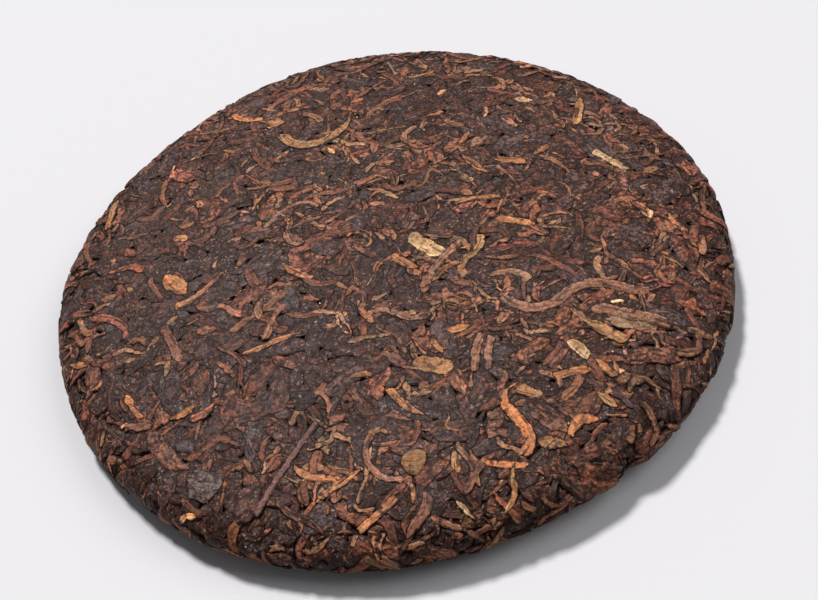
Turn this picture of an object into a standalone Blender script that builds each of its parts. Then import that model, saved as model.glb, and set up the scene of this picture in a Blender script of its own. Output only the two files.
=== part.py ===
"""A round pressed cake of ripe tea leaves, lying on its flat base ring.

Metres, +Z up. The base ring is on z = 0 and the cake's axis runs up the Z axis.
"""

from math import atan2, cos, hypot, pi, radians, sin

import bpy

# The turned form
RADIUS = 0.100  # mean radius at the widest point
HEIGHT = 0.022  # top of the crown
WAIST_HEIGHT = 0.0075  # height of the widest point
BASE_RADIUS = 0.082  # outer radius of the flat ring it lies on
CROWN_FULLNESS = 2.6  # superellipse exponent: 2 is round, larger is flatter with a tighter shoulder
UNDERCUT_FULLNESS = 2.2

# The dimple that the knot of the cloth bag leaves in the underside
DIMPLE_RADIUS = 0.030
DIMPLE_DEPTH = 0.007

# Unevenness from the press: count around the rim, reach, heading of one peak in degrees
RIM_LOBES = (
    (2, 0.00060, -80.0),
    (3, 0.00036, -30.0),
    (4, 0.00042, -15.0),
    (5, 0.00044, 25.0),
    (7, 0.00014, 160.0),
    (11, 0.00012, 40.0),
)
WAIST_LOBES = (
    (1, 0.00060, 40.0),
    (2, 0.00050, 105.0),
    (5, 0.00030, 10.0),
)
# Low swells of the crown: wavelength, heading in degrees, height
CROWN_SWELLS = (
    (0.120, 25.0, 0.00035),
    (0.072, 140.0, 0.00030),
    (0.047, 80.0, 0.00022),
    (0.031, 200.0, 0.00016),
)
# How sharply the unevenness of the rim fades towards the middle
RIM_FADE = 4

# A chip out of the rim
NOTCH_HEADING = radians(-60.0)
NOTCH_DEPTH = 0.0012
NOTCH_HALF_WIDTH = radians(3.5)

# Fineness of the facets
AROUND = 120
CROWN_RINGS = 16
UNDERCUT_RINGS = 6
BASE_RINGS = 3
DIMPLE_RINGS = 6
MERGE_DISTANCE = 0.00001

LEAF_BROWN = (0.040, 0.020, 0.014, 1.0)
LEAF_ROUGHNESS = 0.62


def clear_scene():
    for obj in list(bpy.data.objects):
        bpy.data.objects.remove(obj, do_unlink=True)


def quarter_turn(share, fullness):
    """Across and up on a quarter of a superellipse, from (0, 1) at share 0 to (1, 0) at share 1."""
    angle = share * pi / 2
    return sin(angle) ** (2 / fullness), max(cos(angle), 0.0) ** (2 / fullness)


def turned_profile():
    """Radius and height of each ring: from the middle of the crown, down the rim and in under the base."""
    rings = [(0.0, HEIGHT)]
    for step in range(1, CROWN_RINGS + 1):
        across, up = quarter_turn(step / CROWN_RINGS, CROWN_FULLNESS)
        rings.append((RADIUS * across, WAIST_HEIGHT + (HEIGHT - WAIST_HEIGHT) * up))
    for step in range(1, UNDERCUT_RINGS + 1):
        down, across = quarter_turn(step / UNDERCUT_RINGS, UNDERCUT_FULLNESS)
        rings.append((BASE_RADIUS + (RADIUS - BASE_RADIUS) * across, WAIST_HEIGHT * (1 - down)))
    for step in range(1, BASE_RINGS + 1):
        rings.append((BASE_RADIUS + (DIMPLE_RADIUS - BASE_RADIUS) * step / BASE_RINGS, 0.0))
    for step in range(1, DIMPLE_RINGS + 1):
        share = step / DIMPLE_RINGS
        rings.append((DIMPLE_RADIUS * (1 - share), DIMPLE_DEPTH * (1 - cos(pi * share)) / 2))
    return rings


def turn(rings):
    """The profile screwed once around the Z axis, as a mesh of its own."""
    profile = bpy.data.meshes.new("tea_cake_profile")
    points = [(radius, 0.0, height) for radius, height in rings]
    edges = [(index, index + 1) for index in range(len(rings) - 1)]
    profile.from_pydata(points, edges, [])
    holder = bpy.data.objects.new("tea_cake_profile", profile)
    bpy.context.scene.collection.objects.link(holder)
    screw = holder.modifiers.new("turn", "SCREW")
    screw.axis = "Z"
    screw.angle = 2 * pi
    screw.steps = AROUND
    screw.render_steps = AROUND
    screw.use_merge_vertices = True
    screw.merge_threshold = MERGE_DISTANCE
    screw.use_normal_calculate = True
    graph = bpy.context.evaluated_depsgraph_get()
    turned = bpy.data.meshes.new_from_object(holder.evaluated_get(graph))
    bpy.data.objects.remove(holder, do_unlink=True)
    bpy.data.meshes.remove(profile)
    return turned


def lobe_sum(lobes, heading):
    return sum(reach * cos(count * (heading - radians(peak))) for count, reach, peak in lobes)


def swell_height(x, y):
    total = 0.0
    for wavelength, heading, height in CROWN_SWELLS:
        along = x * cos(radians(heading)) + y * sin(radians(heading))
        total += height * cos(2 * pi * along / wavelength)
    return total


def notch_depth(heading):
    away = abs((heading - NOTCH_HEADING + pi) % (2 * pi) - pi)
    if away >= NOTCH_HALF_WIDTH:
        return 0.0
    return NOTCH_DEPTH * (1 + cos(pi * away / NOTCH_HALF_WIDTH)) / 2


def press_unevenly(mesh):
    """Gives the turned form its uneven rim, waist and crown. The base ring stays flat."""
    for vertex in mesh.vertices:
        x, y, z = vertex.co
        heading = atan2(y, x)
        near_rim = (hypot(x, y) / RADIUS) ** RIM_FADE
        stretch = 1 + near_rim * (lobe_sum(RIM_LOBES, heading) - notch_depth(heading)) / RADIUS
        off_base = min(z / WAIST_HEIGHT, 1.0)
        lift = off_base * near_rim * lobe_sum(WAIST_LOBES, heading)
        if z > WAIST_HEIGHT:
            up_crown = (z - WAIST_HEIGHT) / (HEIGHT - WAIST_HEIGHT)
            lift += up_crown * swell_height(x, y)
        vertex.co = (x * stretch, y * stretch, z + lift)


def centre_on_axis(mesh):
    """Moves the mesh sideways so that its bounding box is centred on the Z axis."""
    for axis in (0, 1):
        reach = [vertex.co[axis] for vertex in mesh.vertices]
        middle = (min(reach) + max(reach)) / 2
        for vertex in mesh.vertices:
            vertex.co[axis] -= middle


def leaf_material():
    material = bpy.data.materials.new("pressed_leaf")
    material.use_nodes = True
    shader = material.node_tree.nodes["Principled BSDF"]
    shader.inputs["Base Color"].default_value = LEAF_BROWN
    shader.inputs["Roughness"].default_value = LEAF_ROUGHNESS
    material.diffuse_color = LEAF_BROWN
    return material


def build():
    clear_scene()
    parts = bpy.data.collections.new("pressed tea cake")
    bpy.context.scene.collection.children.link(parts)
    mesh = turn(turned_profile())
    press_unevenly(mesh)
    centre_on_axis(mesh)
    mesh.name = "tea_cake"
    mesh.materials.clear()
    mesh.materials.append(leaf_material())
    mesh.shade_smooth()
    parts.objects.link(bpy.data.objects.new("tea_cake", mesh))


build()
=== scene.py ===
"""Looks of a round pressed cake of ripe tea: separate leaves pressed over a smaller dark core.

Lengths are in millimetres until a mesh is made. Each face of the cake is unrolled flat about its middle, the
leaves are laid there one on another, and the heap is then pressed down to the cake's own surface.
"""

from collections import namedtuple
from math import ceil, cos, pi, radians, sin, sqrt

import bpy
import numpy as np
from mathutils import Matrix, Vector


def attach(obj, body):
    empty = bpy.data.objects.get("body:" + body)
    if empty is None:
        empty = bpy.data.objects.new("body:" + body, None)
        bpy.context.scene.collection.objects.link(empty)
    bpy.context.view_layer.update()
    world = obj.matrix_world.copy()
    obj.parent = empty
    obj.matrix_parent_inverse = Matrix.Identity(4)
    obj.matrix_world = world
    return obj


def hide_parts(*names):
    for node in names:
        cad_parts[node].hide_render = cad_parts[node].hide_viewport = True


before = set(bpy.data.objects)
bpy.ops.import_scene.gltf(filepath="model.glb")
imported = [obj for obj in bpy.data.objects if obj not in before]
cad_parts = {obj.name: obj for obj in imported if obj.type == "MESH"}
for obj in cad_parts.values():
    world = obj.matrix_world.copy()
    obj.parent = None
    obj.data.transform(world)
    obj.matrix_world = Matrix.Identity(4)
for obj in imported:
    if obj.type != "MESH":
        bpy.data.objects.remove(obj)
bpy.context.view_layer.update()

SEED = 11
MM = 0.001

# The turned form of the cake, as its CAD solid has it
RADIUS = 100.0
HEIGHT = 22.0
WAIST_HEIGHT = 7.5
BASE_RADIUS = 82.0
CROWN_FULLNESS = 2.6
UNDERCUT_FULLNESS = 2.2
DIMPLE_RADIUS = 30.0
DIMPLE_DEPTH = 7.0
RIM_LOBES = (
    (2, 0.60, -80.0), (3, 0.36, -30.0), (4, 0.42, -15.0),
    (5, 0.44, 25.0), (7, 0.14, 160.0), (11, 0.12, 40.0),
)
WAIST_LOBES = ((1, 0.60, 40.0), (2, 0.50, 105.0), (5, 0.30, 10.0))
CROWN_SWELLS = ((120.0, 25.0, 0.35), (72.0, 140.0, 0.30), (47.0, 80.0, 0.22), (31.0, 200.0, 0.16))
RIM_FADE = 4
NOTCH_HEADING = radians(-60.0)
NOTCH_DEPTH = 1.2
NOTCH_HALF_WIDTH = radians(3.5)

# Points of the turned form: round the crown, under the rim, across the base ring and into the dimple
CROWN_STEPS = 240
UNDERCUT_STEPS = 40
RING_STEPS = 29
DIMPLE_STEPS = 39
BASE_START = CROWN_STEPS + UNDERCUT_STEPS  # where the base ring begins
CROWN_END = BASE_START + 12  # where the crown's unrolled face ends, on the base ring
UNDER_START = CROWN_STEPS + 10  # where the underside's unrolled face ends, under the rim
TUCK_START = CROWN_STEPS + 8  # where the crown's leaves begin to tuck in under the rim

# The heap of leaves
CELL = 0.25  # side of a cell of the unrolled face
STEP = 0.2  # spacing of the samples that a leaf leaves in the cells
LEVELLING = 2.2  # how wide the press evens the heap out
FLATTENED = 0.44  # share of the heap's relief that the press leaves
CREST = 0.26  # how far the highest leaf stands over the cake's surface
PIT = 1.7  # how far the lowest lies under it
RIM_LOOSE = 1.5  # how much more of both the rim has, where the press bears less
RIM_FLATTENED = 1.3  # share of the relief that is left at the rim
RIM_FROM = 84.0  # way along the crown to where the press begins to bear less
RIM_OVER = 14.0  # way over which it comes to bear its least
CORE_DEPTH = 0.45  # the core's surface under the lowest leaf
CORE_GRAIN = 0.22  # relief of the core
CORE_AROUND = 300  # points of each ring of the core
CORE_SEAM = CROWN_STEPS + 24  # where its two halves meet, under the rim
CORE_SMOOTH = 2.0  # radius of its middles, which have no relief
CORE_CROWN_RINGS = 95
CORE_UNDER_RINGS = 50
LIP = 0.20  # width of the lip round a leaf, in its mesh
ROUNDED = 0.62  # width over which a leaf's edge is rounded and may be dark with painted shade
BRINK = 2  # cells from a point to the higher leaves that shade it
PAINTED_RECESS_SHADE = 1.2  # how much darker a leaf is painted, as shade, for each millimetre that it lies under those
FADE = 0.6  # how much a leaf's lightness changes from end to end and from side to side, at most
SHADE_HUE = (1.0, 1.25, 1.4)  # how much faster green and blue fall than red where a leaf is shaded
BARE = 0.002  # share of a face that its ground of flakes may leave bare
HIDDEN_RIM = 1  # samples of a leaf's hidden part that are kept round what shows
RIM_HEIGHT = 18.0  # height of the rim that the crown's leaves also cover
EDGE_MARGIN = 8.0  # how far the crown's heap reaches past the last leaf's middle
UNDER_COARSENESS = 1.5  # how much wider the mesh of the underside's leaves is spaced
UNDER_CROWDING = 0.8  # how many of its leaves the underside has, next to the crown
SPINE = 48  # points along a leaf's spine
ATLAS_MARGIN = 0.35  # gap between leaves in the map that looks are baked to
SPREAD = 1.3  # width there of a leaf, next to its own


# --- the cake's surface


class Face:
    """One face of the cake, unrolled about its middle: s is the way along the surface from there."""

    def __init__(self, radius, height, turn):
        self.turn = turn
        self.radius = np.array(radius)
        self.height = np.array(height)
        step = np.hypot(np.diff(self.radius), np.diff(self.height))
        self.s = np.concatenate([[0.0], np.cumsum(step)])
        along_r = np.gradient(self.radius, self.s)
        along_z = np.gradient(self.height, self.s)
        self.out_r = -along_z * turn
        self.out_z = along_r * turn

    def across(self, s):
        return np.interp(s, self.s, self.radius)

    def stretch(self, s):
        """How much longer a circle is unrolled than it is on the cake."""
        return np.where(s > 1.0, s / np.maximum(self.across(s), 1.0), 1.0)

    def points(self, a, b, rise):
        s = np.hypot(a, b)
        heading = np.arctan2(b, a) * self.turn
        r = self.across(s) + rise * np.interp(s, self.s, self.out_r)
        z = np.interp(s, self.s, self.height) + rise * np.interp(s, self.s, self.out_z)
        return pressed_unevenly(r * np.cos(heading), r * np.sin(heading), z)

    def unroll(self, x, y):
        """The unrolled place of a point of the crown, from its place seen from above."""
        r = sqrt(x * x + y * y)
        s = float(np.interp(r, self.radius[: CROWN_STEPS + 1], self.s[: CROWN_STEPS + 1]))
        return x * s / max(r, 1e-6), y * s / max(r, 1e-6)


def turned_profile():
    """Radius and height from the crown's middle round the rim and the base ring to the dimple's middle."""
    share = np.linspace(0.0, pi / 2, CROWN_STEPS + 1)
    power = 2 / CROWN_FULLNESS
    crown_r = RADIUS * np.sin(share) ** power
    crown_z = WAIST_HEIGHT + (HEIGHT - WAIST_HEIGHT) * np.maximum(np.cos(share), 0.0) ** power
    share = np.linspace(0.0, pi / 2, UNDERCUT_STEPS + 1)[1:]
    power = 2 / UNDERCUT_FULLNESS
    under_r = BASE_RADIUS + (RADIUS - BASE_RADIUS) * np.maximum(np.cos(share), 0.0) ** power
    under_z = WAIST_HEIGHT * (1 - np.sin(share) ** power)
    ring_r = np.linspace(BASE_RADIUS, DIMPLE_RADIUS, RING_STEPS + 1)[1:]
    share = np.linspace(0.0, 1.0, DIMPLE_STEPS + 1)[1:]
    dimple_r = DIMPLE_RADIUS * (1 - share)
    dimple_z = DIMPLE_DEPTH * (1 - np.cos(pi * share)) / 2
    radius = np.concatenate([crown_r, under_r, ring_r, dimple_r])
    height = np.concatenate([crown_z, under_z, ring_r * 0.0, dimple_z])
    return radius, height


def lobe_sum(lobes, heading):
    return sum(reach * np.cos(count * (heading - radians(peak))) for count, reach, peak in lobes)


def pressed_unevenly(x, y, z):
    """The unevenness of the CAD solid, for any point near its surface."""
    heading = np.arctan2(y, x)
    near_rim = (np.hypot(x, y) / RADIUS) ** RIM_FADE
    away = np.abs((heading - NOTCH_HEADING + pi) % (2 * pi) - pi)
    share = np.minimum(away / NOTCH_HALF_WIDTH, 1.0)
    notch = NOTCH_DEPTH * (1 + np.cos(pi * share)) / 2
    stretch = 1 + near_rim * (lobe_sum(RIM_LOBES, heading) - notch) / RADIUS
    off_base = np.clip(z / WAIST_HEIGHT, 0.0, 1.0)
    lift = off_base * near_rim * lobe_sum(WAIST_LOBES, heading)
    up_crown = np.clip((z - WAIST_HEIGHT) / (HEIGHT - WAIST_HEIGHT), 0.0, 1.0)
    for wavelength, direction, height in CROWN_SWELLS:
        along = x * cos(radians(direction)) + y * sin(radians(direction))
        lift = lift + up_crown * height * np.cos(2 * pi * along / wavelength)
    return np.stack([x * stretch, y * stretch, z + lift], axis=-1)


# --- the heap on one face


def blur(field, width):
    """The field smoothed by a bell of that width, in cells."""
    rows = np.fft.fftfreq(field.shape[0])[:, None]
    columns = np.fft.rfftfreq(field.shape[1])[None, :]
    bell = np.exp(-2 * (pi * width) ** 2 * (rows**2 + columns**2))
    return np.fft.irfft2(np.fft.rfft2(field) * bell, s=field.shape)


def highest_near(field, reach):
    """The highest value within that many cells, each way."""
    for axis in (0, 1):
        field = np.max([np.roll(field, shift, axis) for shift in range(-reach, reach + 1)], axis=0)
    return field


class Heap:
    """The leaves laid so far on one face: the height of each cell, and which leaf is topmost there."""

    def __init__(self, face, reach, coarseness):
        self.face = face
        self.reach = reach
        self.coarseness = coarseness
        self.count = int(2 * reach / CELL) + 1
        self.leaves = []
        self.clear()

    def clear(self):
        self.height = np.zeros(self.count * self.count, np.float32)
        self.topmost = np.full(self.count * self.count, -1, np.int32)

    def cells(self, a, b):
        i = np.clip(((a + self.reach) / CELL).astype(np.int32), 0, self.count - 1)
        j = np.clip(((b + self.reach) / CELL).astype(np.int32), 0, self.count - 1)
        return i * self.count + j

    def cover(self, leaf, number):
        """Writes the leaf into the cells where it lies higher than what is there."""
        higher = leaf.sample_z > self.height[leaf.sample_cells]
        cells, z = leaf.sample_cells[higher], leaf.sample_z[higher]
        order = np.argsort(z)
        self.height[cells[order]] = z[order]
        self.topmost[cells] = number

    def lay(self, leaf):
        leaf.settle(self)
        a, b, z = leaf.sheet(*leaf.samples(), self)
        leaf.sample_cells = self.cells(a, b)
        leaf.sample_z = z.astype(np.float32)
        leaf.a, leaf.b, leaf.z = leaf.sheet(*leaf.mesh_lines(self.coarseness), self)
        self.cover(leaf, len(self.leaves))
        self.leaves.append(leaf)

    def press(self):
        """Drops the leaves that hardly show, and evens the heap out."""
        seen = np.bincount(self.topmost[self.topmost >= 0], minlength=len(self.leaves)) * CELL * CELL
        self.kept = [leaf for leaf, area in zip(self.leaves, seen) if area > leaf.shape["shown"]]
        self.clear()
        for number, leaf in enumerate(self.kept):
            self.cover(leaf, number)
        square = self.height.reshape(self.count, self.count)
        self.level = blur(square, LEVELLING / CELL).ravel()
        edge = np.linspace(-self.reach, self.reach, self.count)
        top = self.rise(*[line.ravel() for line in np.meshgrid(edge, edge, indexing="ij")], self.height)
        self.brink = highest_near(top.reshape(self.count, self.count), BRINK).ravel()
        for number, leaf in enumerate(self.kept):
            leaf.rise = self.rise(leaf.a, leaf.b, leaf.z)
            # How far each point lies under the higher leaves nearby, which sets its painted shade
            leaf.recess = self.brink[self.cells(leaf.a, leaf.b)] - leaf.rise
            leaf.shows = self.topmost[leaf.sample_cells] == number

    def rise(self, a, b, z):
        """Height over the cake's surface, after pressing, of a point at height z of the heap."""
        over = z - self.level[self.cells(a, b)]
        s = np.hypot(a, b)
        tucked = np.clip((s - self.face.tuck_from) / self.face.tuck_over, 0.0, 1.0)
        near_rim = np.clip((s - self.face.rim_from) / self.face.rim_over, 0.0, 1.0) * (1 - tucked)
        over = over * (FLATTENED + (RIM_FLATTENED - FLATTENED) * near_rim)
        crest = CREST * (1 + RIM_LOOSE * near_rim)
        pit = PIT * (1 + RIM_LOOSE * near_rim)
        up = crest * (1 - np.exp(-np.maximum(over, 0.0) / crest))
        down = pit * (np.exp(np.minimum(over, 0.0) / pit) - 1)
        return up + down - CREST * tucked


# --- one leaf


class Waver:
    """A smooth wavering line: a few sines of random phase."""

    def __init__(self, draw, slowest, fastest, terms=4):
        self.rate = draw.uniform(slowest, max(slowest, fastest), terms)
        self.phase = draw.uniform(0.0, 2 * pi, terms)
        self.height = draw.uniform(0.4, 1.0, terms)
        self.height /= self.height.sum()

    def __call__(self, t):
        t = np.asarray(t)[..., None]
        return (self.height * np.sin(2 * pi * self.rate * t + self.phase)).sum(-1)


class Wrinkles:
    """Dents of a leaf: a few waves across it in random directions."""

    def __init__(self, draw, longest, shortest, terms=6):
        wave = 2 * pi / np.exp(draw.uniform(np.log(shortest), np.log(longest), terms))
        direction = draw.uniform(0.0, pi, terms)
        self.along = wave * np.cos(direction)
        self.across = wave * np.sin(direction)
        self.phase = draw.uniform(0.0, 2 * pi, terms)
        self.height = 1.6 / wave / (1 / wave).sum()

    def __call__(self, along, across):
        turns = along[..., None] * self.along + across[..., None] * self.across + self.phase
        return (self.height * np.sin(turns)).sum(-1)


def torn_line(draw, length, spacing, depth):
    """A line of straight runs between random knots, as a share of a leaf's half width along it."""
    knots = max(3, round(length / spacing) + 1)
    return np.linspace(0.0, 1.0, knots), 1 - depth * draw.uniform(0.0, 1.0, knots) ** 1.6


class Leaf:
    """One leaf, strip, tip, stem or crumb, laid along a bending spine."""

    def __init__(self, draw, sort, kind, at, heading, length, width, bends, tint, face, chance=1.0):
        self.sort = sort
        self.shape = SHAPES[kind]
        self.length, self.width = length, width
        self.tint = np.array(tint)
        self.thick = self.shape["thick"] * draw.uniform(0.75, 1.25) * min(1.0, 0.45 + width / 4)
        self.tapers = [self.taper(draw) for _ in range(2)]
        self.power = draw.uniform(*self.shape["power"], 2)
        self.edges = [self.torn_edge(draw, 0.3 + 0.7 * chance) for _ in range(2)]
        self.slant = draw.uniform(-0.8, 0.8)
        self.folds = draw.uniform(0.7, 1.2) * width / 3.0
        self.edge_wave = Waver(draw, 0.3, length / 6)
        self.wrinkles = Wrinkles(draw, 7.0, 1.8)
        self.crease = draw.uniform(*self.shape["crease"])
        self.crease_at = draw.uniform(-0.35, 0.35)
        self.tilt = draw.normal(0.0, self.shape["tilt"])
        self.mark = draw.uniform(0.0, 1.0, 4)
        self.fork = draw.uniform(0.5, 0.8) if draw.uniform() < chance * self.shape["forked"] else 2.0
        s = sqrt(at[0] ** 2 + at[1] ** 2)
        around = np.array([-at[1], at[0]]) / max(s, 1e-6)
        stretch = float(face.stretch(np.array(s)))
        self.warp = np.eye(2) + (stretch - 1) * np.outer(around, around)
        turned = np.concatenate([[0.0], np.cumsum(bends)])
        t = np.linspace(0.0, 1.0, SPINE)
        course = np.interp(t, np.linspace(0.0, 1.0, len(turned)), turned) - turned[-1] / 2
        kink = draw.normal(0.0, 1.0) * self.shape["kink"] * chance
        if draw.uniform() < chance * self.shape["folded"]:
            kink = draw.uniform(35.0, 80.0) * draw.choice((-1, 1))
        course = course + kink * (np.tanh((t - draw.uniform(0.2, 0.8)) / 0.03)) / 2
        course = np.radians(heading + course)
        gap = length / (SPINE - 1)
        along = np.stack([np.cos(course), np.sin(course)])
        steps = (along[:, 1:] + along[:, :-1]) / 2 * gap
        spine = np.concatenate([[[0.0], [0.0]], np.cumsum(steps, axis=1)], axis=1)
        spine -= spine.mean(axis=1, keepdims=True)
        self.t = t
        self.spine = self.warp @ spine + np.array(at)[:, None]
        self.side = self.warp @ np.stack([-along[1], along[0]])

    def taper(self, draw):
        """Share of its length over which one end narrows: a blunt, torn end or a pointed one."""
        if draw.uniform() < self.shape["pointed"]:
            return draw.uniform(0.3, 0.6)
        return min(0.5, draw.uniform(0.15, 0.7) * self.width / self.length)

    def torn_edge(self, draw, ragged):
        return [torn_line(draw, self.length, gap, ragged * depth) for gap, depth in self.shape["torn"]]

    def samples(self):
        """Lines along and across it, close enough to reach each cell that it covers."""
        return (
            np.linspace(0.0, 1.0, max(5, ceil(self.length / STEP))),
            np.linspace(-1.0, 1.0, max(5, ceil(self.width / STEP))),
        )

    def mesh_lines(self, coarseness):
        """The lines of its mesh along and across it, close together at its edges."""
        row, column = self.shape["row"] * coarseness, self.shape["column"]
        if isinstance(column, tuple):
            return np.linspace(0.0, 1.0, max(3, round(self.length / row))), np.array(column)
        lines = []
        for span, spacing in ((self.length, row), (self.width, column * coarseness)):
            lip, rounded = min(LIP / span, 0.12), min(ROUNDED / span, 0.27)
            inner = np.linspace(rounded, 1 - rounded, max(1, round(span / spacing - 0.6)) + 1)
            ends = ([0.0], [1.0]) if self.shape["plain"] else ([0.0, lip], [1 - lip, 1.0])
            lines.append(np.concatenate([ends[0], inner, ends[1]]))
        return lines[0], 2 * lines[1] - 1

    def half_width(self, t, edge):
        start = np.clip(t / self.tapers[0], 0.0, 1.0)
        finish = np.clip((1 - t) / self.tapers[1], 0.0, 1.0)
        taper = np.minimum(np.sin(start * pi / 2) ** self.power[0], np.sin(finish * pi / 2) ** self.power[1])
        for line in self.edges[edge]:
            taper = taper * np.interp(t, *line)
        return self.width / 2 * taper

    def reach(self, t, v):
        """Distance from the spine of each crossing of the lines t along the leaf and v across it."""
        wide = np.where(v[None, :] > 0, self.half_width(t, 0)[:, None], self.half_width(t, 1)[:, None])
        spread = 1 + 1.3 * np.clip(t - self.fork, 0.0, 1.0)
        return wide * v[None, :] * spread[:, None]

    def place(self, t, v):
        """The unrolled place of each crossing."""
        reach = self.reach(t, v)
        centre = [np.interp(t, self.t, line)[:, None] for line in self.spine]
        side = [np.interp(t, self.t, line)[:, None] for line in self.side]
        slant = self.slant * (2 * t - 1)[:, None] ** 3 * reach
        a = centre[0] + side[0] * reach + side[1] * slant
        b = centre[1] + side[1] * reach - side[0] * slant
        return a, b

    def from_edge(self, t, v):
        """Distance in from the leaf's edge, or from the slit of a forked one."""
        reach = np.abs(self.reach(t, v))
        wide = np.abs(self.reach(t, np.sign(v) + (v == 0)))
        inward = np.minimum(wide - reach, np.minimum(t, 1 - t)[:, None] * self.length)
        slit = np.where(t[:, None] > self.fork, np.abs(v)[None, :] * self.width / 2 - 0.15, 9.0)
        return np.maximum(np.minimum(inward, slit), 0.0)

    def settle(self, heap):
        """The height that the leaf's spine takes over what lies under it."""
        a, b = self.place(self.t, np.linspace(-0.7, 0.7, 5))
        under = heap.height[heap.cells(a, b)]
        rest = 0.55 * under.max(axis=1) + 0.45 * under.mean(axis=1)
        reach = max(1.0, self.shape["stiff"] / self.length * SPINE)
        window = np.arange(-int(2 * reach), int(2 * reach) + 1)
        bell = np.exp(-0.5 * (window / reach) ** 2)
        padded = np.pad(rest, len(window) // 2, mode="edge")
        self.rest = np.convolve(padded, bell / bell.sum(), mode="valid")

    def sheet(self, t, v, heap):
        """Place and height of the leaf's upper side at each crossing of the lines t and v."""
        a, b = self.place(t, v)
        shape = self.shape
        under = heap.height[heap.cells(a, b)]
        rest = np.interp(t, self.t, self.rest)[:, None]
        inward = self.from_edge(t, v)
        dome = shape["flat"] + (1 - shape["flat"]) * (1 - np.abs(v)[None, :] ** 2.4)
        rounded = np.minimum(inward / (2 * LIP), 1.0)
        dome = dome * (1 - (1 - rounded) ** 2)
        crease = self.crease * np.exp(-(((v[None, :] - self.crease_at) / 0.22) ** 2)) * dome
        reach = self.reach(t, v)
        turns = 2 * self.folds * reach / self.width + 0.35 * self.edge_wave(t)[:, None] + self.mark[3]
        fold = np.sin(2 * pi * turns) * dome
        dents = self.wrinkles(t[:, None] * self.length + 0 * reach, reach)
        z = (1 - shape["drape"]) * rest + shape["drape"] * under
        z = z + self.thick * (dome - crease) + shape["fold"] * fold + shape["dents"] * dents
        z = z + self.tilt * v[None, :] - shape["sink"] * (1 - np.minimum(inward / (1.5 * LIP), 1.0)) ** 1.5
        return a, b, z


# Shape of each kind of leaf: a row for each measure, with its value for each kind. Lengths are in millimetres
KINDS = ("flake", "plate", "strip", "tip", "stem", "pale", "bit", "crumb", "fibre")
MEASURES = {
    # rise of its middle
    "thick": (0.26, 0.12, 0.38, 0.44, 0.6, 0.3, 0.28, 0.34, 0.3),
    # how often an end is pointed
    "pointed": (0.2, 0.1, 0.3, 0.75, 0.0, 0.4, 0.3, 0.1, 1.0),
    # roundness of its ends, from and to
    "power": (
        (0.4, 1.1), (0.3, 0.9), (0.3, 1.0), (0.6, 1.1), (0.3, 0.6), (0.5, 1.1), (0.2, 1.2), (0.4, 0.9),
        (0.4, 0.8),
    ),
    # spacing of the knots of its edges, and how deep they cut as a share of the half width
    "torn": (
        ((3.6, 0.5), (1.2, 0.22)), ((3.4, 0.5), (1.2, 0.25)), ((3.4, 0.48), (1.2, 0.18)),
        ((2.4, 0.34), (1.0, 0.14)), ((5.0, 0.22), (1.4, 0.1)), ((2.3, 0.55), (1.1, 0.24)),
        ((1.5, 0.6), (0.8, 0.25)), ((0.7, 0.4),), ((3.0, 0.3),),
    ),
    # depth of the fold along it, from and to, as a share of thick
    "crease": (
        (-0.3, 0.4), (-0.2, 0.3), (0.0, 0.8), (0.0, 0.6), (0.0, 0.5), (0.0, 0.8), (-0.2, 0.5), (0.0, 0.2),
        (0.0, 0.0),
    ),
    # usual rise of one edge over the other
    "tilt": (0.12, 0.06, 0.16, 0.1, 0.04, 0.12, 0.2, 0.08, 0.0),
    # degrees of its usual bend
    "kink": (8, 8, 10, 8, 5, 10, 15, 0, 20),
    # how often it is bent sharply
    "folded": (0.1, 0.0, 0.28, 0.08, 0.1, 0.05, 0.15, 0.0, 0.3),
    # how often it is split
    "forked": (0.0, 0.0, 0.14, 0.05, 0.0, 0.05, 0.0, 0.0, 0.0),
    # spacing of its mesh along it
    "row": (1.25, 1.25, 0.95, 0.95, 1.1, 1.0, 0.9, 0.45, 0.7),
    # spacing of its mesh across it, or its places there
    "column": (1.3, 1.25, 0.75, 0.75, 0.55, 0.85, 0.8, (-1.0, -0.5, 0.5, 1.0), (-1.0, 0.0, 1.0)),
    # length over which it gives way to what is under it
    "stiff": (2.0, 1.6, 1.4, 1.8, 4.0, 2.0, 0.8, 0.5, 1.0),
    # how closely it follows that
    "drape": (0.38, 0.4, 0.36, 0.28, 0.1, 0.32, 0.5, 0.6, 0.6),
    # how much of its section is flat
    "flat": (0.9, 0.95, 0.75, 0.45, 0.4, 0.7, 0.85, 0.4, 0.2),
    # height of its ridges
    "fold": (0.02, 0.02, 0.05, 0.04, 0.04, 0.04, 0.02, 0.0, 0.0),
    # height of its dents
    "dents": (0.06, 0.05, 0.07, 0.07, 0.05, 0.09, 0.08, 0.05, 0.02),
    # how far its edges turn down
    "sink": (0.2, 0.12, 0.22, 0.22, 0.22, 0.2, 0.18, 0.2, 0.15),
    # square millimetres that must show for it to be kept
    "shown": (1.3, 1.3, 1.3, 1.3, 1.3, 1.3, 0.8, 0.1, 0.1),
    # whether its mesh has no lip
    "plain": (False, False, False, False, False, False, True, False, False),
}
SHAPES = {kind: {name: row[k] for name, row in MEASURES.items()} for k, kind in enumerate(KINDS)}

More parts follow.
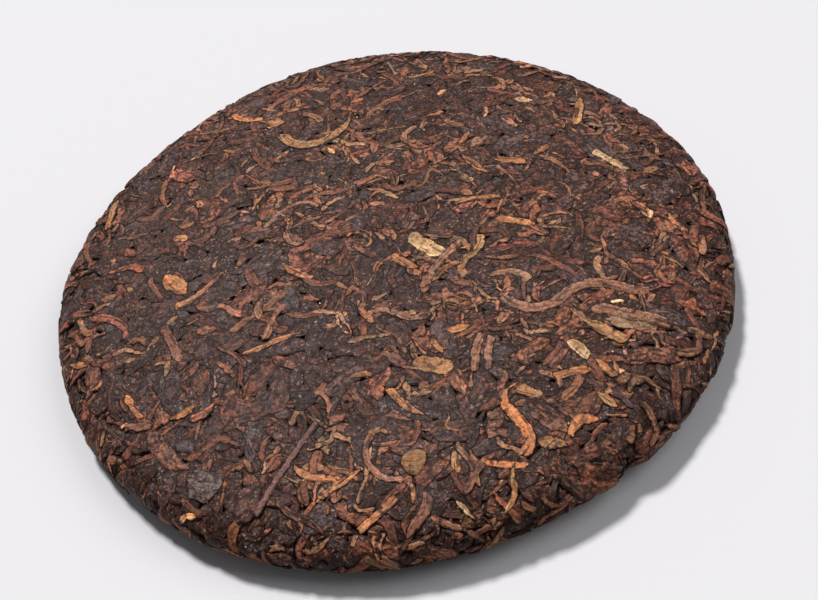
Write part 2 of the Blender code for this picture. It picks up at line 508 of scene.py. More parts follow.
# Linear colours of the leaves
DARK = (
    (0.0309, 0.0092, 0.0056),
    (0.0462, 0.0176, 0.0127),
    (0.0506, 0.0308, 0.0298),
    (0.0720, 0.0242, 0.0144),
)
BROWN = ((0.112, 0.0341, 0.0174), (0.161, 0.0511, 0.0258), (0.216, 0.0745, 0.0383), (0.142, 0.0504, 0.0296))
AMBER = ((0.190, 0.0725, 0.0309), (0.240, 0.0988, 0.0456), (0.275, 0.132, 0.0676), (0.211, 0.0961, 0.0514))
STEM = ((0.150, 0.066, 0.050), (0.210, 0.098, 0.074), (0.110, 0.050, 0.038))
PALE = ((0.594, 0.302, 0.137), (0.484, 0.211, 0.0893), (0.682, 0.378, 0.200))
FLECK = ((0.520, 0.350, 0.235), (0.680, 0.520, 0.400), (0.420, 0.230, 0.130))


def tint_of(draw, palette, spread=0.20):
    """A colour between two of a palette, a little lighter or darker."""
    one, other = draw.choice(len(palette), 2)
    share = draw.uniform()
    colour = np.array(palette[one]) * (1 - share) + np.array(palette[other]) * share
    return colour * np.exp(draw.normal(0.0, spread)) * np.exp(draw.normal(0.0, 0.04, 3))


def bends_of(draw, kind):
    """Degrees that a leaf of that kind turns by, from one stretch of its length to the next."""
    if kind in ("flake", "plate", "pale", "bit", "crumb"):
        return draw.normal(0.0, 22.0, 2)
    if kind == "stem":
        return draw.normal(0.0, 7.0, 3)
    if kind == "tip":
        return draw.normal(0.0, 26.0, 2)
    form = draw.uniform()
    turn = draw.uniform(25.0, 95.0) * draw.choice((-1, 1))
    if form < 0.25:
        return (turn * 0.2, turn * 0.2)
    if form < 0.50:
        return (turn * 0.4, turn * 0.6)
    if form < 0.70:
        return (turn, -turn * draw.uniform(0.6, 1.1))
    if form < 0.85:
        return (turn * 0.15, turn * 0.3, turn * 1.3)
    return (turn * 0.8, -turn, turn * 0.9)


# Patches of the crown with more light leaves, or with fewer: place from above, radius and how many more
PATCHES = (
    (-10, 52, 13, 1.2), (-29, 20, 13, 0.9), (-17, -4, 11, 0.7), (-62, 0, 7, 0.9), (-50, 74, 13, 1.0),
    (20, 84, 15, 0.9), (13, -9, 8, 0.8), (56, -48, 10, 1.1), (68, 45, 11, 0.9), (40, 20, 12, 0.8),
    (-26, -77, 13, 1.3), (2, -51, 9, 0.8), (26, -67, 8, 0.6), (60, 78, 10, 0.9), (-86, 25, 10, 0.8),
    (-13, 37, 9, -0.9), (-58, 11, 11, -0.8), (-28, -47, 17, -0.9), (-73, -10, 11, -0.7), (50, -9, 11, -0.8),
    (-52, 45, 12, -0.6), (10, -62, 10, -0.8), (37, 50, 11, -0.6), (55, 30, 8, -0.7), (40, -90, 12, -0.7),
    (-70, -62, 13, -0.6), (83, -30, 14, -0.3), (-48, -15, 10, -0.6),
    (-76, 15, 26, -0.5), (-58, -38, 16, -0.4), (74, -12, 26, 0.6), (-20, 82, 14, 0.9), (14, 28, 16, 0.5),
    (20, -38, 12, 0.5), (66, -36, 14, 0.4),
)


FEWEST_LIGHT = 0.15
MOST_LIGHT = 2.2
EVEN_SHARE = 2.3  # divides how common leaves are into how often a place is taken
DARK_BALANCE = 2.4  # how common light and dark leaves are together


def lightness_near(x, y):
    """How common light leaves are about a place of the crown, next to the usual."""
    more = sum(gain * np.exp(-((x - px) ** 2 + (y - py) ** 2) / size**2) for px, py, size, gain in PATCHES)
    return min(max(1.0 + more, FEWEST_LIGHT), MOST_LIGHT)


def random_place(draw, reach, face, light):
    """A place of the unrolled face for a leaf of that lightness, as likely on any equal area of the cake."""
    while True:
        a, b = draw.uniform(-reach, reach, 2)
        s = sqrt(a * a + b * b)
        if s > reach or draw.uniform() > 1 / float(face.stretch(np.array(s))):
            continue
        if not light:
            return a, b
        common = lightness_near(a, b) if face.turn > 0 else 1.0
        if draw.uniform() < (common if light > 0 else DARK_BALANCE - common) / EVEN_SHARE:
            return a, b


# Sorts of leaf: kind, palette, length and width from and to, how many for each square metre of face, when
# they are laid (0 to 1 throughout, more is later) and whether they gather in light patches (1) or dark (-1)
Sort = namedtuple("Sort", "kind palette lengths widths many late light")
SORTS = {
    "ground_flakes": Sort("flake", DARK, (9, 18), (6, 10), 0, 0.0, 0),
    "dark_flakes": Sort("flake", DARK, (8, 20), (5.0, 11.0), 11000, 0.0, -1),
    "dark_plates": Sort("plate", DARK, (8, 20), (6.0, 12.0), 9500, 0.38, -1),
    "brown_flakes": Sort("flake", BROWN, (7, 18), (3.6, 8.4), 9000, 0.28, 0),
    "dark_strips": Sort("strip", DARK, (10, 26), (2.6, 5.4), 6500, 0.0, -1),
    "brown_strips": Sort("strip", BROWN, (8, 24), (2.3, 4.8), 11500, 0.25, 0),
    "amber_strips": Sort("strip", AMBER, (6, 19), (1.8, 3.9), 11000, 0.38, 1),
    "amber_tips": Sort("tip", AMBER, (4, 11), (1.3, 2.7), 6500, 0.35, 1),
    "amber_flakes": Sort("pale", AMBER, (3, 10), (1.9, 4.6), 6500, 0.35, 1),
    "stems": Sort("stem", STEM, (10, 28), (1.1, 2.0), 900, 0.15, 0),
    "pale_leaves": Sort("pale", PALE, (3, 8), (1.6, 3.4), 600, 0.4, 1),
    "dark_bits": Sort("bit", DARK, (2.0, 5.5), (1.4, 3.2), 3000, 0.15, -1),
    "brown_bits": Sort("bit", BROWN, (2.0, 5.5), (1.2, 3.0), 5000, 0.2, 0),
    "amber_bits": Sort("bit", AMBER, (1.6, 4.6), (0.9, 2.4), 9000, 0.3, 1),
    "crumbs": Sort("crumb", BROWN, (0.7, 1.8), (0.5, 1.3), 26000, 1.5, 0),
    "amber_crumbs": Sort("crumb", AMBER, (0.7, 1.7), (0.4, 1.1), 12000, 1.5, 1),
    "pale_flecks": Sort("crumb", FLECK, (0.4, 1.5), (0.25, 0.7), 26000, 1.5, 0),
    "fibres": Sort("fibre", STEM, (2.5, 8.0), (0.28, 0.45), 4000, 1.5, 0),
}

# Colours of the leaves that stand out
RUST = (0.159, 0.0625, 0.0398)
CHESTNUT = (0.233, 0.104, 0.0597)
ORANGE = (0.370, 0.144, 0.0560)
FLAME = (0.450, 0.158, 0.0560)
TAN = (0.316, 0.148, 0.0603)
OLIVE_TAN = (0.211, 0.123, 0.0689)
OCHRE = (0.210, 0.0941, 0.0344)
GOLD = (0.438, 0.263, 0.129)
BONE = (0.620, 0.420, 0.280)
CHAR = (0.014, 0.008, 0.010)
ASH = (0.100, 0.075, 0.070)
UMBER = (0.140, 0.066, 0.054)
# Leaves that stand out on the crown: sort, colour, place from above, heading, length, width and turns
STANDING_OUT = (
    ("amber_strips", FLAME, 25, -72, -163, 26, 3.9, (30, 48, 36, 7, -8, -12, -42, -21)),
    ("pale_leaves", OCHRE, -3, -78, -13, 7, 8.3, (0, 0)),
    ("brown_strips", CHESTNUT, -12, -76, -66, 20, 2.4, (46, 45, 48)),
    ("amber_strips", TAN, 8, -79, -104, 10, 3.3, (29,)),
    ("brown_strips", CHESTNUT, 10, -80, -67, 9, 2.3, (-28,)),
    ("amber_strips", FLAME, 19, -84, -20, 13, 2.6, (28, 4, 26)),
    ("amber_strips", TAN, 19, -91, -142, 16, 2.4, (48, -44, -22)),
    ("amber_strips", FLAME, 40, -77, -147, 11, 4.0, (26, 46, 38, 50)),
    ("amber_flakes", ORANGE, 42, -62, -7, 11, 3.4, (-5, -36)),
    ("amber_flakes", TAN, 29, -65, -28, 6, 4.0, (17,)),
    ("stems", CHESTNUT, 32, -74, -41, 13, 1.8, (-8, 30)),
    ("pale_leaves", BONE, 37, -76, -104, 4, 1.3, (0,)),
    ("amber_tips", TAN, 48, -71, -50, 7, 3.1, (5,)),
    ("brown_flakes", RUST, 33, -74, -50, 11, 6.4, (0, 0)),
    ("amber_tips", GOLD, 7, -93, -58, 8, 2.2, (10,)),
    ("amber_strips", ORANGE, -14, -89, -151, 13, 2.9, (-8,)),
    ("brown_strips", RUST, -4, -92, -110, 13, 3.6, (-51, 11)),
    ("brown_strips", CHESTNUT, 2, -95, -35, 9, 2.4, (34,)),
    ("pale_leaves", TAN, 32, -81, -18, 8, 4.6, (-37,)),
    ("amber_strips", ORANGE, -2, -61, -52, 14, 2.9, (42,)),
    ("stems", UMBER, -35, -71, -131, 29, 2.4, (3,)),
    ("brown_flakes", RUST, -66, -58, -38, 19, 5.9, (-5, 44)),
    ("amber_strips", ORANGE, -28, -75, -52, 15, 2.7, (63, 1)),
    ("amber_strips", ORANGE, -22, -79, -156, 13, 2.8, (10,)),
    ("amber_strips", RUST, -33, -85, -66, 17, 2.7, (34, -33)),
    ("amber_strips", ORANGE, -75, -40, -63, 11, 2.8, (5,)),
    ("amber_flakes", ORANGE, -61, -47, 12, 8, 3.6, (0,)),
    ("dark_flakes", CHAR, -28, -53, -16, 7, 7.0, (0,)),
    ("dark_flakes", ASH, -57, -70, -28, 10, 9.0, (0,)),
    ("amber_flakes", ORANGE, -61, 0, -56, 12, 6.4, (12,)),
    ("amber_strips", ORANGE, -82, 42, -99, 15, 3.2, (12,)),
    ("amber_strips", RUST, -63, -22, -74, 16, 3.8, (-15,)),
    ("amber_strips", ORANGE, -37, -32, -6, 17, 2.8, (29, -17)),
    ("amber_strips", ORANGE, -25, -8, -43, 11, 3.3, (35,)),
    ("brown_strips", CHESTNUT, -25, 19, -19, 22, 2.2, (7, -45, -79)),
    ("amber_tips", ORANGE, -92, -18, -31, 8, 3.2, (0,)),
    ("pale_leaves", GOLD, 12, -8, -52, 13, 5.9, (8,)),
    ("amber_strips", TAN, 24, -15, -73, 18, 3.1, (-74, 92)),
    ("amber_flakes", ORANGE, 5, -13, -52, 9, 3.6, (0,)),
    ("brown_strips", CHESTNUT, 15, -16, -132, 21, 3.1, (30,)),
    ("amber_strips", ORANGE, 31, 7, -4, 14, 3.2, (-39,)),
    ("amber_flakes", ORANGE, 39, -5, -26, 12, 3.8, (0,)),
    ("amber_strips", CHESTNUT, 48, -36, -23, 45, 4.0, (14, 43, 38, -24, -39, -7, 40)),
    ("brown_strips", CHESTNUT, 61, -46, -24, 21, 4.6, (-7,)),
    ("pale_leaves", TAN, 53, -50, -45, 14, 4.6, (6,)),
    ("pale_leaves", OLIVE_TAN, 60, -49, -20, 13, 4.9, (-6,)),
    ("pale_leaves", GOLD, 45, -55, -59, 8, 4.1, (0,)),
    ("amber_strips", RUST, 39, -57, 45, 8, 2.8, (20,)),
    ("brown_flakes", RUST, 63, -60, -7, 16, 6.1, (-39,)),
    ("amber_tips", ORANGE, 50, -62, -57, 8, 2.9, (0,)),
    ("brown_strips", CHESTNUT, 19, -50, -109, 13, 3.1, (30,)),
    ("brown_strips", CHESTNUT, 22, -51, -106, 12, 2.8, (20,)),
    ("amber_flakes", ORANGE, 9, -45, -67, 7, 2.8, (0,)),
    ("amber_tips", ORANGE, 16, -41, 3, 8, 3.5, (0,)),
    ("amber_flakes", TAN, 7, -51, -27, 12, 6.1, (-8,)),
    ("amber_flakes", RUST, -3, -46, -49, 9, 3.8, (0,)),
    ("amber_strips", TAN, -12, 53, -1, 36, 4.6, (110, 61)),
    ("amber_flakes", ORANGE, -26, 64, -24, 7, 5.8, (0,)),
    ("brown_flakes", CHESTNUT, 34, 33, 24, 12, 4.6, (0,)),
    ("amber_strips", ORANGE, 32, 23, -60, 12, 3.2, (8,)),
    ("amber_strips", TAN, 3, 18, -40, 13, 2.7, (-34,)),
    ("amber_flakes", ORANGE, 43, 22, -18, 10, 3.6, (0,)),
    ("pale_leaves", GOLD, 53, 51, -20, 7, 4.6, (0,)),
    ("pale_leaves", GOLD, 72, 15, -55, 14, 3.3, (6,)),
    ("amber_strips", FLAME, -36, 72, -42, 15, 3.2, (73,)),
    ("pale_leaves", TAN, 59, 78, 21, 11, 4.4, (0,)),
    ("amber_strips", TAN, 69, 42, 70, 17, 3.8, (12,)),
    ("amber_flakes", ORANGE, -59, 19, -9, 5, 4.0, (0,)),
)
LATE = 1.45  # when they are laid: over all leaves, under the crumbs


def lay_one(draw, heap, name, at):
    """Lays one leaf of that sort there, in a random direction."""
    kind, palette, lengths, widths = SORTS[name][:4]
    length = lengths[0] + (lengths[1] - lengths[0]) * draw.beta(1.3, 2.4)
    width = widths[0] + (widths[1] - widths[0]) * draw.beta(1.8, 1.9)
    heading = draw.uniform(0.0, 360.0)
    tint = tint_of(draw, palette)
    heap.lay(Leaf(draw, name, kind, at, heading, length, width, bends_of(draw, kind), tint, heap.face))


def lay_ground(draw, heap, reach):
    """Covers the face with broad flakes, each laid where it is still bare."""
    edge = np.linspace(-heap.reach, heap.reach, heap.count)
    inside = (np.hypot(edge[:, None], edge[None, :]) < reach).ravel()
    while True:
        bare = np.flatnonzero(inside & (heap.topmost < 0))
        if len(bare) < BARE * inside.sum():
            return
        for cell in draw.choice(bare, 40):
            if heap.topmost[cell] < 0:
                lay_one(draw, heap, "ground_flakes", (edge[cell // heap.count], edge[cell % heap.count]))


def fill(draw, heap, reach, area, crowding):
    """Lays all sorts of leaf, in random order over a ground of broad dark flakes."""
    face = heap.face
    lay_ground(draw, heap, reach)
    order = []
    for name, sort in SORTS.items():
        order += [(draw.uniform() + sort.late, name) for _ in range(round(sort.many * area * crowding))]
    if face.turn > 0:
        order += [(LATE, leaf) for leaf in STANDING_OUT]
    order.sort(key=lambda item: item[0])
    for _, item in order:
        if item in SORTS:
            lay_one(draw, heap, item, random_place(draw, reach, face, SORTS[item].light))
        else:
            name, tint, x, y, heading, length, width, turns = item
            at = face.unroll(x, y)
            heap.lay(Leaf(draw, name, SORTS[name].kind, at, heading, length, width, turns, tint, face, 0.0))


# --- meshes


def shelf_cells(sizes):
    """Corner of a cell for each (width, height) in a unit square, and the scale that makes all fit."""
    order = np.argsort([-height for _, height in sizes])
    scale = 1 / sqrt(sum((w + 0.5) * (h + 0.5) for w, h in sizes))
    while True:
        corners = [None] * len(sizes)
        x = y = shelf = 0.0
        for index in order:
            w, h = sizes[index][0] * scale, sizes[index][1] * scale
            if x + w > 1.0:
                x, y, shelf = 0.0, y + shelf, 0.0
            shelf = max(shelf, h)
            corners[index] = (x, y)
            x += w
        if y + shelf <= 1.0:
            return corners, scale
        scale *= 0.985


def build_mesh(name, points, quads, tint, atlas, grain, material):
    """A piece of quads with two UV maps, and for each point a colour and how far in from the edge it is."""
    mesh = bpy.data.meshes.new(name)
    mesh.vertices.add(len(points))
    mesh.vertices.foreach_set("co", (points * MM).astype(np.float32).ravel())
    mesh.loops.add(quads.size)
    mesh.loops.foreach_set("vertex_index", quads.astype(np.int32).ravel())
    mesh.polygons.add(len(quads))
    mesh.polygons.foreach_set("loop_start", np.arange(0, quads.size, 4, dtype=np.int32))
    mesh.update(calc_edges=True)
    for layer_name, uv in (("OFBake", atlas), ("grain", grain)):
        layer = mesh.uv_layers.new(name=layer_name)
        layer.data.foreach_set("uv", uv[quads.ravel()].astype(np.float32).ravel())
    layer = mesh.color_attributes.new(name="tint", type="FLOAT_COLOR", domain="POINT")
    layer.data.foreach_set("color", tint.astype(np.float32).ravel())
    mesh.shade_smooth()
    mesh.materials.append(material)
    piece = bpy.data.objects.new(name, mesh)
    bpy.context.scene.collection.objects.link(piece)
    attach(piece, "root")
    return piece


def shown_quads(leaf, t, v):
    """Which of the leaf's quads show, or lie by a part that shows."""
    shows = leaf.shows
    rows, columns = shows.shape
    total = np.zeros((rows + 1, columns + 1))
    total[1:, 1:] = shows.cumsum(0).cumsum(1)
    first_row = np.clip((t[:-1] * (rows - 1)).astype(int) - HIDDEN_RIM, 0, rows - 1)
    last_row = np.clip(np.ceil(t[1:] * (rows - 1)).astype(int) + HIDDEN_RIM, 0, rows - 1)
    first_column = np.clip(((v[:-1] + 1) / 2 * (columns - 1)).astype(int) - HIDDEN_RIM, 0, columns - 1)
    last_column = np.clip(np.ceil((v[1:] + 1) / 2 * (columns - 1)).astype(int) + HIDDEN_RIM, 0, columns - 1)
    low, high = first_row[:, None], last_row[:, None] + 1
    left, right = first_column[None, :], last_column[None, :] + 1
    return total[high, right] - total[low, right] - total[high, left] + total[low, left] > 0


def leaf_piece(name, heap, leaves, material):
    """One mesh of all these leaves."""
    sizes = [(leaf.length + ATLAS_MARGIN, leaf.width * SPREAD + ATLAS_MARGIN) for leaf in leaves]
    corners, scale = shelf_cells(sizes)
    points, quads, tints, atlas, grain = [], [], [], [], []
    first = 0
    for leaf, corner in zip(leaves, corners):
        t, v = leaf.mesh_lines(heap.coarseness)
        rows, columns = len(t), len(v)
        index = np.arange(rows * columns).reshape(rows, columns)
        loop = np.stack([index[:-1, :-1], index[1:, :-1], index[1:, 1:], index[:-1, 1:]], axis=-1)
        slit = (t[:-1, None] > leaf.fork) & (np.abs(v[:-1] + v[1:])[None, :] < 0.2)
        loop = loop[shown_quads(leaf, t, v) & ~slit]
        used, loop = np.unique(loop, return_inverse=True)
        quads.append(first + loop.reshape(-1, 4))
        first += len(used)
        points.append(heap.face.points(leaf.a, leaf.b, leaf.rise).reshape(-1, 3)[used])
        across = (v[None, :] * leaf.width * SPREAD / 2 + 0 * t[:, None]).ravel()[used]
        along = (t[:, None] * leaf.length + 0 * v[None, :]).ravel()[used]
        left = corner[0] + (along + ATLAS_MARGIN / 2) * scale
        bottom = corner[1] + (across + leaf.width * SPREAD / 2 + ATLAS_MARGIN / 2) * scale
        atlas.append(np.stack([left, bottom], axis=1))
        fibre = leaf.reach(t, v).ravel()[used]
        grain.append(np.stack([along + 100 * leaf.mark[0], fibre + 100 * leaf.mark[1]], axis=1))
        inside = np.clip(leaf.from_edge(t, v) / ROUNDED, 0.0, 1.0)
        # Painted shade: a leaf is darker where it lies under higher leaves nearby
        painted_recess_shade = np.clip(1.12 - PAINTED_RECESS_SHADE * leaf.recess, 0.2, 1.0)
        fade = 1 + FADE * (leaf.mark[2] - 0.5) * (2 * t - 1)[:, None]
        fade = fade + FADE * (leaf.mark[3] - 0.5) * v[None, :]
        shade = (painted_recess_shade * fade).ravel()[used, None] ** np.array(SHADE_HUE)
        tints.append(np.concatenate([shade * leaf.tint, inside.ravel()[used, None]], axis=1))
    parts = [np.concatenate(part) for part in (points, quads, tints, atlas, grain)]
    return build_mesh(name, *parts, material)


# --- materials


class Nodes:
    """Short calls for the nodes of one material."""

    def __init__(self, name):
        self.material = bpy.data.materials.new(name)
        self.material.use_nodes = True
        self.tree = self.material.node_tree
        self.shader = self.tree.nodes["Principled BSDF"]

    def add(self, kind, inputs=(), **settings):
        node = self.tree.nodes.new(kind)
        for key, value in settings.items():
            setattr(node, key, value)
        for key, value in dict(inputs).items():
            if isinstance(value, bpy.types.NodeSocket):
                self.tree.links.new(value, node.inputs[key])
            else:
                node.inputs[key].default_value = value
        return node

    def scaled(self, source, scale):
        return self.add("ShaderNodeMapping", {"Vector": source, "Scale": scale}).outputs[0]

    def millimetres(self):
        """The place on the object."""
        return self.scaled(self.add("ShaderNodeTexCoord").outputs["Object"], (1 / MM, 1 / MM, 1 / MM))

    def noise(self, source, scale, detail=3.0, roughness=0.55, distortion=0.0):
        inputs = {"Vector": source, "Scale": scale, "Detail": detail}
        inputs.update({"Roughness": roughness, "Distortion": distortion})
        return self.add("ShaderNodeTexNoise", inputs).outputs[0]

    def ranged(self, value, low, high, to_low, to_high):
        inputs = {"Value": value, "From Min": low, "From Max": high, "To Min": to_low, "To Max": to_high}
        return self.add("ShaderNodeMapRange", inputs, clamp=True).outputs[0]

    def math(self, operation, one, other):
        return self.add("ShaderNodeMath", {0: one, 1: other}, operation=operation).outputs[0]

    def cracks(self, source, scale, wobble, wide):
        """1 on the thin lines between irregular cells, 0 away from them."""
        inputs = {"Vector": source, "Scale": scale * 2.5, "Detail": 2.0}
        bent = self.add("ShaderNodeTexNoise", inputs).outputs[1]
        shift = self.add("ShaderNodeVectorMath", {0: bent, "Scale": wobble}, operation="SCALE").outputs[0]
        moved = self.add("ShaderNodeVectorMath", {0: source, 1: shift}, operation="ADD").outputs[0]
        inputs = {"Vector": moved, "Scale": scale}
        cells = self.add("ShaderNodeTexVoronoi", inputs, feature="DISTANCE_TO_EDGE").outputs["Distance"]
        return self.ranged(cells, wide * 0.3, wide, 1.0, 0.0)

    def mix(self, factor, one, other, blend="MIX"):
        node = self.add("ShaderNodeMix", data_type="RGBA", blend_type=blend)
        for socket, value in ((node.inputs[0], factor), (node.inputs[6], one), (node.inputs[7], other)):
            if isinstance(value, bpy.types.NodeSocket):
                self.tree.links.new(value, socket)
            else:
                socket.default_value = value
        return node.outputs[2]

    def link(self, value, socket):
        self.tree.links.new(value, self.shader.inputs[socket])

    def bump(self, height, strength, distance):
        inputs = {"Height": height, "Strength": strength, "Distance": distance}
        self.link(self.add("ShaderNodeBump", inputs).outputs[0], "Normal")

    def times(self, colour, factor):
        """The colour with its lightness multiplied by a number from the nodes."""
        return self.add("ShaderNodeVectorMath", {0: colour, "Scale": factor}, operation="SCALE").outputs[0]


# Pale dust, whose patches also carry painted sheen: the greyish gleam of dark leaves
DUST_AND_SHEEN = (0.173, 0.0912, 0.0681, 1.0)
# Pale specks: partly real dust and crumbs, partly painted glints
PALE_SPECK_AND_GLINT = (0.34, 0.225, 0.165, 1.0)
CORE_BLACK = (0.008, 0.004, 0.003, 1.0)
CORE_BROWN = (0.052, 0.022, 0.014, 1.0)
WARMER = (1.13, 0.98, 0.86, 1.0)
COOLER = (0.85, 0.99, 1.15, 1.0)
# Near-black painted shade, for creases, cracks and the gaps round each leaf
PAINTED_CREVICE_SHADE = (0.014, 0.0045, 0.0025, 1.0)


def leaf_material(name, outline_and_gap_shade, painted_crease_shade, mottled, streaks, grit_height, painted_crack_shade, dust, gloss, relief):
    """Pressed leaf: each leaf's tint, streaked along it, mottled and grainy, with pale specks that are partly
    painted glints, painted shade in its creases, cracks and round its edges, and patches of dust that also
    carry painted sheen.
    """
    n = Nodes(name)
    tint, inside = n.add("ShaderNodeVertexColor", layer_name="tint").outputs
    grain = n.add("ShaderNodeUVMap", uv_map="grain").outputs[0]
    place = n.millimetres()
    crease = n.noise(n.scaled(grain, (0.10, 0.90, 1.0)), 1.0, 3.0, 0.60, 0.6)
    streak = n.noise(n.scaled(grain, (0.10, 1.10, 1.0)), 1.0, 3.0, 0.7, 0.3)
    blotch = n.noise(place, 0.45, 3.0, 0.6)
    grit = n.noise(place, 0.95, 1.5, 0.75)
    crack = n.cracks(n.scaled(grain, (0.6, 1.0, 1.0)), 0.34, 1.6, 0.15)
    crack = n.math("MULTIPLY", crack, n.ranged(n.noise(place, 0.30, 2.0), 0.38, 0.50, 0.0, painted_crack_shade))
    colour = n.times(tint, n.ranged(streak, 0.3, 0.7, 1 - streaks, 1 + streaks))
    colour = n.times(colour, n.ranged(blotch, 0.35, 0.65, 1 - mottled, 1 + mottled))
    colour = n.times(colour, n.ranged(grit, 0.38, 0.64, 1 - 0.85 * grit_height, 1 + 0.85 * grit_height))
    tone = n.mix(n.ranged(n.noise(place, 0.22, 2.0), 0.42, 0.58, 0.0, 1.0), WARMER, COOLER)
    colour = n.mix(mottled * 3, colour, n.mix(1.0, colour, tone, "MULTIPLY"))
    # Pale specks, partly dust and partly painted glints
    speck_and_glint_share = n.ranged(n.noise(place, 0.12, 2.0), 0.40, 0.60, 0.15, 0.85 * grit_height)
    colour = n.mix(n.ranged(n.noise(place, 1.3, 1.0), 0.59, 0.67, 0.0, speck_and_glint_share), colour, PALE_SPECK_AND_GLINT)
    colour = n.times(colour, n.ranged(n.noise(place, 1.1, 2.0), 0.33, 0.41, 1 - 1.2 * grit_height, 1.0))
    # Painted shade in the creases and cracks, where the bump dips
    colour = n.mix(n.ranged(crease, 0.37, 0.44, painted_crease_shade, 0.0), colour, PAINTED_CREVICE_SHADE)
    colour = n.mix(crack, colour, PAINTED_CREVICE_SHADE)
    # Patches of pale dust that are partly painted sheen of the dark leaves; dust sets how strong they are
    dust_and_sheen_share = n.math("MULTIPLY", n.ranged(n.noise(place, 0.9, 4.0, 0.85), 0.52, 0.66, 0.0, 1.0), dust)
    colour = n.mix(dust_and_sheen_share, colour, DUST_AND_SHEEN)
    # Dark outline round each leaf: painted shade of the gap beside it, with some of the leaf's own darker
    # edge
    line = n.math("ADD", inside, n.ranged(n.noise(place, 0.55, 2.0), 0.35, 0.65, -0.30, 0.45))
    colour = n.mix(n.ranged(line, 0.55, 0.90, outline_and_gap_shade, 0.0), colour, PAINTED_CREVICE_SHADE)
    n.link(colour, "Base Color")
    rough = n.ranged(n.math("ADD", blotch, grit), 0.76, 1.24, gloss[0], gloss[1])
    n.link(rough, "Roughness")
    n.shader.inputs["Specular IOR Level"].default_value = 0.14
    height = n.math("ADD", n.ranged(crease, 0.3, 0.6, 0.0, 0.9), n.math("MULTIPLY", streak, 0.5))
    height = n.math("ADD", height, n.math("MULTIPLY", grit, 0.9))
    height = n.math("SUBTRACT", height, n.math("MULTIPLY", crack, 0.8))
    n.bump(height, 1.0, relief)
    return n.material


def core_material():
    """The fine dark tea between the leaves."""
    n = Nodes("pressed_tea_dust")
    place = n.millimetres()
    grain = n.noise(place, 1.6, 4.0, 0.7)
    colour = n.mix(n.ranged(grain, 0.35, 0.65, 0.0, 1.0), CORE_BLACK, CORE_BROWN)
    n.link(colour, "Base Color")
    n.link(n.ranged(grain, 0.3, 0.7, 0.75, 0.9), "Roughness")
    n.bump(n.noise(place, 3.0, 3.0, 0.7), 0.9, 0.0003)
    return n.material


# --- build


def make_faces():
    """The crown with the rim, and the underside, each unrolled."""
    radius, height = turned_profile()
    crown = Face(radius[:CROWN_END], height[:CROWN_END], 1)
    crown.tuck_from = crown.s[TUCK_START]
    crown.tuck_over = crown.s[BASE_START] - crown.tuck_from
    crown.rim_from, crown.rim_over = RIM_FROM, RIM_OVER
    under = Face(radius[UNDER_START:][::-1], height[UNDER_START:][::-1], -1)
    under.tuck_from, under.tuck_over = -1.0, 1.0
    under.rim_from, under.rim_over = 0.0, 1.0
    return crown, under


def core_piece(draw, crown_heap, under_heap, material):
    """The closed core: each face's floor, under all the leaves, with the relief of fine crumbs."""
    heading = np.linspace(0.0, 2 * pi, CORE_AROUND, endpoint=False)
    rings = []
    crown_way = np.linspace(0.0, crown_heap.face.s[CORE_SEAM], CORE_CROWN_RINGS)
    under_way = np.linspace(under_heap.face.s[UNDER_START - CORE_SEAM - 1], 0.0, CORE_UNDER_RINGS)
    for heap, spans in ((crown_heap, crown_way), (under_heap, under_way)):
        face = heap.face
        for s in spans:
            angle = heading * face.turn
            a, b = s * np.cos(angle), s * np.sin(angle)
            grain = CORE_GRAIN * draw.uniform(-1.0, 0.5, CORE_AROUND) if s > CORE_SMOOTH else 0.0
            rings.append(face.points(a, b, heap.rise(a, b, 0.0 * a) - CORE_DEPTH + grain))
    count = len(rings)
    points = np.concatenate(rings)
    index = np.arange(count * CORE_AROUND).reshape(count, CORE_AROUND)
    following = np.roll(index, -1, axis=1)
    quads = np.stack([index[:-1], index[1:], following[1:], following[:-1]], axis=-1).reshape(-1, 4)
    turn = np.tile(heading / (2 * pi), count)
    way = np.repeat(np.linspace(0.0, 1.0, count), CORE_AROUND)
    uv = np.stack([turn, way], axis=1)
    tint = np.ones((len(points), 4))
    return build_mesh("tea_core", points, quads, tint, uv, uv, material)


def pressed_heaps(draw):
    """The heaps of leaves of the crown and the underside, in that order of random draws."""
    crown, under = make_faces()
    face_area = pi * RADIUS**2 * MM**2
    rim_area = 2 * pi * RADIUS * RIM_HEIGHT * MM**2
    crown_reach = crown.s[BASE_START] + 2
    crown_heap = Heap(crown, crown_reach + EDGE_MARGIN, 1.0)
    fill(draw, crown_heap, crown_reach, face_area + rim_area, 1.0)
    crown_heap.press()
    under_heap = Heap(under, under.s[-1], UNDER_COARSENESS)
    fill(draw, under_heap, under.s[-1] - 2, face_area, UNDER_CROWDING)
    under_heap.press()
    return crown_heap, under_heap


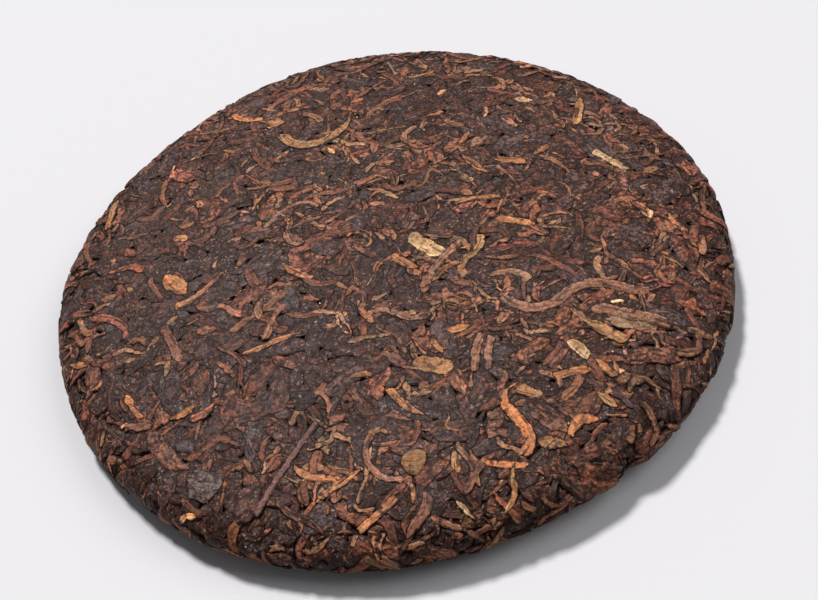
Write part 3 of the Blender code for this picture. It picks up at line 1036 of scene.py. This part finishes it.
# Looks of each kind of leaf: name, painted outline and gap shade, painted crease shade, mottled, streaks,
# grit, painted crack shade, dust with painted sheen, gloss and relief
LOOKS = {
    "flake": ("dark_pressed_flake", 0.92, 0.50, 0.26, 0.14, 0.62, 0.9, 0.40, (0.46, 0.66), 0.00016),
    "plate": ("broad_pressed_leaf", 0.90, 0.22, 0.24, 0.12, 0.68, 1.0, 0.45, (0.46, 0.66), 0.00012),
    "strip": ("rolled_leaf_strip", 1.00, 0.85, 0.18, 0.40, 0.40, 0.2, 0.20, (0.45, 0.62), 0.00024),
    "tip": ("amber_leaf_tip", 1.00, 0.80, 0.16, 0.38, 0.34, 0.2, 0.10, (0.48, 0.65), 0.00020),
    "stem": ("leaf_stem", 1.00, 0.60, 0.12, 0.36, 0.34, 0.2, 0.20, (0.48, 0.65), 0.00020),
    "pale": ("pale_leaf", 1.00, 0.65, 0.14, 0.28, 0.36, 0.3, 0.05, (0.50, 0.70), 0.00018),
    "bit": ("leaf_bit", 0.95, 0.50, 0.20, 0.22, 0.48, 0.4, 0.25, (0.50, 0.68), 0.00018),
    "crumb": ("leaf_crumb", 0.50, 0.0, 0.20, 0.2, 0.3, 0.0, 0.0, (0.55, 0.75), 0.00012),
    "fibre": ("leaf_fibre", 0.30, 0.0, 0.10, 0.2, 0.2, 0.0, 0.0, (0.55, 0.75), 0.00010),
}


def dress_cake():
    """Every sort of leaf as one piece of the crown and one of the underside, and the core under them."""
    draw = np.random.default_rng(SEED)
    crown_heap, under_heap = pressed_heaps(draw)
    materials = {kind: leaf_material(*look) for kind, look in LOOKS.items()}
    for heap, face_name in ((crown_heap, "crown"), (under_heap, "under")):
        for name, sort in SORTS.items():
            leaves = [leaf for leaf in heap.kept if leaf.sort == name]
            leaf_piece(f"{face_name}_{name}", heap, leaves, materials[sort.kind])
    core = core_piece(draw, crown_heap, under_heap, core_material())
    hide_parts("tea_cake")


# --- floor, light and camera


FLOOR_SIZE = 40.0
FLOOR_COLOUR = (0.47, 0.46, 0.475, 1.0)
SKY_COLOUR = (0.95, 0.97, 1.0, 1.0)
SKY_STRENGTH = 0.22
# Name, where it shines from, how many degrees of the sky it fills, and strength
LIGHTS = (
    ("key", (-0.35, 0.95, 1.75), 10.0, 4.6),
    ("fill", (1.40, 0.10, 1.50), 45.0, 1.4),
)
# The camera, in metres, and its lens and sensor in millimetres
ELEVATION = radians(46.67)
ROLL = radians(-11.97)
TARGET = Vector((0.00432, -0.01611, 0.010))
DISTANCE = 0.3646
LENS = 55.9
SENSOR = 36.0


def floor_and_light():
    """A pale floor, a key light from behind, a soft fill from the right and a dim sky."""
    bpy.ops.mesh.primitive_plane_add(size=FLOOR_SIZE, location=(0.0, 0.0, 0.0))
    floor = bpy.context.object
    floor.name = "floor"
    n = Nodes("pale_floor")
    n.shader.inputs["Base Color"].default_value = FLOOR_COLOUR
    n.shader.inputs["Roughness"].default_value = 0.85
    floor.data.materials.append(n.material)
    for name, place, spread, strength in LIGHTS:
        light = bpy.data.lights.new(name, "SUN")
        light.angle = radians(spread)
        light.energy = strength
        lamp = bpy.data.objects.new(name, light)
        lamp.location = place
        lamp.rotation_euler = (-Vector(place)).to_track_quat("-Z", "Y").to_euler()
        bpy.context.scene.collection.objects.link(lamp)
    world = bpy.data.worlds.new("studio")
    world.use_nodes = True
    sky = world.node_tree.nodes["Background"]
    sky.inputs["Color"].default_value = SKY_COLOUR
    sky.inputs["Strength"].default_value = SKY_STRENGTH
    bpy.context.scene.world = world
    bpy.context.scene.view_settings.view_transform = "Standard"


def aim_camera():
    """The camera looks down at the cake, rolled, as the cake in the photograph lies tilted."""
    back = Vector((0.0, -cos(ELEVATION), sin(ELEVATION)))
    right = Vector((1.0, 0.0, 0.0))
    up = back.cross(right)
    rolled_right = cos(ROLL) * right + sin(ROLL) * up
    rolled_up = -sin(ROLL) * right + cos(ROLL) * up
    camera = bpy.data.cameras.new("camera")
    camera.sensor_width = SENSOR
    camera.lens = LENS
    camera.clip_start = 0.01
    holder = bpy.data.objects.new("camera", camera)
    turn = Matrix((rolled_right, rolled_up, back)).transposed()
    holder.matrix_world = Matrix.Translation(TARGET + back * DISTANCE) @ turn.to_4x4()
    bpy.context.scene.collection.objects.link(holder)
    bpy.context.scene.camera = holder


dress_cake()
floor_and_light()
aim_camera()
